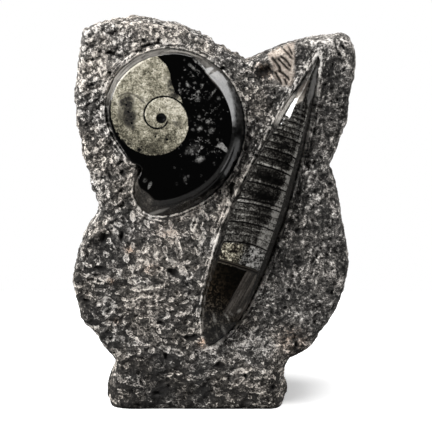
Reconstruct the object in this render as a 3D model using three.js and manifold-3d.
// A fossil display: a hewn block of dark limestone that stands on its own foot, with a coiled
// goniatite and a straight orthoceras standing proud of its show face.
// Millimetres, +Z up. The show face looks towards -Y. The origin is at the middle of the
// object's box, on the surface that the foot rests on.

import * as THREE from 'three';
import { mergeVertices } from 'three/addons/utils/BufferGeometryUtils.js';
import Module from 'manifold-3d';

// Depths, front to back
const BOSS_Y = -32;
const FRONT_Y = -23;
const BACK_FOOT_Y = 32;
const BACK_TOP_Y = 24;
const BLOCK_HEIGHT = 250;

// The block's worn edge, and how far its outline runs on below the foot before it is cut flat
const EDGE_INSET = 3.5;
const EDGE_DEPTH = 10;
const EDGE_STEPS = 3;
const FOOT_TRIM = 20;

// The block's outline seen from the front, as runs of spline between its corners, in x and z.
// It goes round counterclockwise, from the foot's right corner to its left one.
const FOOT_RIGHT_X = 45.5;
const FOOT_LEFT_X = -67.5;
const OUTLINE_RUNS = [
  // foot, right
  [[49, 7], [45.5, 18], [49, 33]],
  // right of the belly, up to the waist
  [[61.5, 40], [74, 56], [82.5, 72], [87.2, 92], [84.8, 113], [80.8, 134], [74, 157.5]],
  // right shoulder
  [[84.2, 184.5], [87.3, 198], [90.5, 228.5]],
  // horn, down to the dip in the top edge
  [[87, 237.5], [82, 240.6], [68, 239.6], [52, 237], [38, 230.8], [21, 223.8]],
  // dome
  [[0.8, 234.4], [-9, 240.8], [-20.7, 246], [-42, BLOCK_HEIGHT], [-64, 249], [-82, 242]],
  // left shoulder, down to the waist
  [[-85.6, 211.3], [-86.4, 194.8], [-82.2, 167.3], [-71.7, 131.8]],
  // left of the belly
  [[-75, 122], [-82.2, 112], [-89.4, 90.2], [-90.2, 80.4], [-83, 58], [-65, 34.7]],
  // foot, left
  [[-62.8, 28.4], [-69, 7], [FOOT_LEFT_X, 0]],
];
const OUTLINE_STEPS = 3;

// Goniatite: a disc bounded by a logarithmic spiral and closed by the edge of the aperture.
// Angles are turned clockwise, seen from the front, from the side that faces left.
const COIL_X = -32.3;
const COIL_Z = 189.7;
const SPIRAL_RADIUS = 35.2;
const SPIRAL_GROWTH = 0.1235;
const SPIRAL_START_DEG = -30;
const SPIRAL_END_DEG = 270;
const SPIRAL_STEPS = 50;
// The aperture's edge from the shell's outer end back to the first whorl, from the coil's centre
const APERTURE = [[-9.5, -61.4], [-15.2, -55.5], [-17.9, -48.5], [-16.6, -39.5], [-14.5, -32.5],
  [-20, -27.5]];
const GONIATITE_DEPTH = 20;
const GONIATITE_BEVEL = 6;
const GONIATITE_BEVEL_STEPS = 4;

// Orthoceras: a spindle pointed at both ends, flattened, with its axis in the show face
const SPINDLE_FOOT_X = -2.8;
const SPINDLE_FOOT_Z = 41.3;
const SPINDLE_LENGTH = 201.6;
const SPINDLE_TILT_DEG = 20.4;
// Half width at distances along the axis from the lower tip
const SPINDLE_PROFILE = [[0, 0], [9.6, 13.4], [14.6, 31], [17.3, 60], [17.7, 84], [15.4, 116],
  [12, 142], [7, 171], [0, SPINDLE_LENGTH]];
const SPINDLE_RINGS = 44;
const SPINDLE_SIDES = 28;

// Clearance between each fossil and its pocket in the rock
const CLEARANCE = 0.3;

const wasm = await Module();
wasm.setup();

// A three.js geometry as a solid that can be joined and cut
function toSolid(geometry) {
  const bare = geometry.clone();
  bare.deleteAttribute('normal');
  bare.deleteAttribute('uv');
  const merged = mergeVertices(bare);
  return new wasm.Manifold(new wasm.Mesh({
    numProp: 3,
    vertProperties: new Float32Array(merged.attributes.position.array),
    triVerts: new Uint32Array(merged.index.array),
  }));
}

// A solid as a three.js geometry
function toGeometry(solid) {
  const mesh = solid.getMesh();
  const geometry = new THREE.BufferGeometry();
  geometry.setAttribute('position', new THREE.BufferAttribute(mesh.vertProperties, 3));
  geometry.setIndex(new THREE.BufferAttribute(mesh.triVerts, 1));
  geometry.computeVertexNormals();
  return geometry;
}

function toPoints(pairs) {
  return pairs.map(([x, z]) => new THREE.Vector2(x, z));
}

// Turns a shape extruded along +Z so that its own y points up and the extrusion runs from
// backY towards the show face
function standUp(geometry, backY) {
  geometry.rotateX(Math.PI / 2);
  geometry.translate(0, backY, 0);
  return geometry;
}

// Limestone block

function blockOutline() {
  const shape = new THREE.Shape();
  shape.moveTo(FOOT_RIGHT_X, -FOOT_TRIM);
  shape.lineTo(FOOT_RIGHT_X, 0);
  for (const run of OUTLINE_RUNS) {
    shape.splineThru(toPoints(run));
  }
  shape.lineTo(FOOT_LEFT_X, -FOOT_TRIM);
  return shape;
}

function roughBlock() {
  const geometry = new THREE.ExtrudeGeometry(blockOutline(), {
    depth: BACK_FOOT_Y - FRONT_Y - 2 * EDGE_DEPTH,
    curveSegments: OUTLINE_STEPS,
    bevelSize: EDGE_INSET,
    bevelOffset: -EDGE_INSET,
    bevelThickness: EDGE_DEPTH,
    bevelSegments: EDGE_STEPS,
  });
  standUp(geometry, BACK_FOOT_Y - EDGE_DEPTH);
  // the back leans in towards the top
  const position = geometry.attributes.position;
  for (let i = 0; i < position.count; i += 1) {
    const y = position.getY(i);
    const share = position.getZ(i) / BLOCK_HEIGHT;
    if (y > 0) {
      position.setY(i, y * THREE.MathUtils.lerp(1, BACK_TOP_Y / BACK_FOOT_Y, share));
    }
  }
  return toSolid(geometry);
}

function underFoot() {
  const geometry = new THREE.BoxGeometry(BLOCK_HEIGHT, BLOCK_HEIGHT, 2 * FOOT_TRIM);
  geometry.translate(0, 0, -FOOT_TRIM);
  return toSolid(geometry);
}

// Goniatite

function goniatiteOutline() {
  const rim = [];
  for (let i = 0; i <= SPIRAL_STEPS; i += 1) {
    const degrees = THREE.MathUtils.lerp(SPIRAL_START_DEG, SPIRAL_END_DEG, i / SPIRAL_STEPS);
    const angle = THREE.MathUtils.degToRad(degrees);
    const radius = SPIRAL_RADIUS * Math.exp(SPIRAL_GROWTH * angle);
    rim.push(new THREE.Vector2(-radius * Math.cos(angle), radius * Math.sin(angle)));
  }
  const aperture = new THREE.SplineCurve([rim.at(-1), ...toPoints(APERTURE), rim[0]]);
  const edge = aperture.getPoints(2 * APERTURE.length).slice(1, -1);
  return new THREE.Shape([...rim, ...edge]);
}

// grow is the clearance of a pocket, or nothing for the fossil itself
function goniatiteGeometry(grow) {
  const geometry = new THREE.ExtrudeGeometry(goniatiteOutline(), {
    depth: GONIATITE_DEPTH - 2 * GONIATITE_BEVEL + 2 * grow,
    bevelSize: GONIATITE_BEVEL,
    bevelOffset: grow - GONIATITE_BEVEL,
    bevelThickness: GONIATITE_BEVEL,
    bevelSegments: GONIATITE_BEVEL_STEPS,
  });
  return standUp(geometry, GONIATITE_DEPTH / 2 - GONIATITE_BEVEL + grow);
}

function placeGoniatite(object) {
  object.position.set(COIL_X, BOSS_Y + GONIATITE_DEPTH / 2, COIL_Z);
}

// Orthoceras

function orthocerasGeometry(grow) {
  const spline = new THREE.SplineCurve(toPoints(SPINDLE_PROFILE));
  const profile = spline.getSpacedPoints(SPINDLE_RINGS);
  const widest = Math.max(...profile.map((point) => point.x));
  const middle = SPINDLE_LENGTH / 2;
  for (const point of profile.slice(1, -1)) {
    point.x += grow;
  }
  profile[0].set(0, -grow);
  profile.at(-1).set(0, SPINDLE_LENGTH + grow);
  const geometry = new THREE.LatheGeometry(profile, SPINDLE_SIDES);
  const proud = FRONT_Y - BOSS_Y;
  geometry.scale(1, 1, (proud + grow) / (widest + grow));
  geometry.translate(0, -middle, 0);
  geometry.rotateX(Math.PI / 2);
  return geometry;
}

function placeOrthoceras(object) {
  const tilt = THREE.MathUtils.degToRad(SPINDLE_TILT_DEG);
  const middle = SPINDLE_LENGTH / 2;
  const x = SPINDLE_FOOT_X + middle * Math.sin(tilt);
  const z = SPINDLE_FOOT_Z + middle * Math.cos(tilt);
  object.position.set(x, FRONT_Y, z);
  object.rotation.y = tilt;
}

// Assembly

const stone = new THREE.MeshStandardMaterial({ color: 0x67635f, roughness: 0.95, metalness: 0 });
const calcite = new THREE.MeshStandardMaterial({ color: 0x8c8678, roughness: 0.25, metalness: 0 });
const shell = new THREE.MeshStandardMaterial({ color: 0x272522, roughness: 0.25, metalness: 0 });

const goniatite = new THREE.Mesh(goniatiteGeometry(0), calcite);
goniatite.name = 'goniatite';
placeGoniatite(goniatite);

const orthoceras = new THREE.Mesh(orthocerasGeometry(0), shell);
orthoceras.name = 'orthoceras';
placeOrthoceras(orthoceras);

// The pocket that a fossil lies in, in the place of that fossil
function pocket(geometry, fossil) {
  fossil.updateMatrix();
  return toSolid(geometry.applyMatrix4(fossil.matrix));
}

const block = roughBlock()
  .subtract(underFoot())
  .subtract(pocket(goniatiteGeometry(CLEARANCE), goniatite))
  .subtract(pocket(orthocerasGeometry(CLEARANCE), orthoceras));
const limestone = new THREE.Mesh(toGeometry(block), stone);
limestone.name = 'limestone_block';

const display = new THREE.Group();
display.add(limestone, goniatite, orthoceras);

export default display;
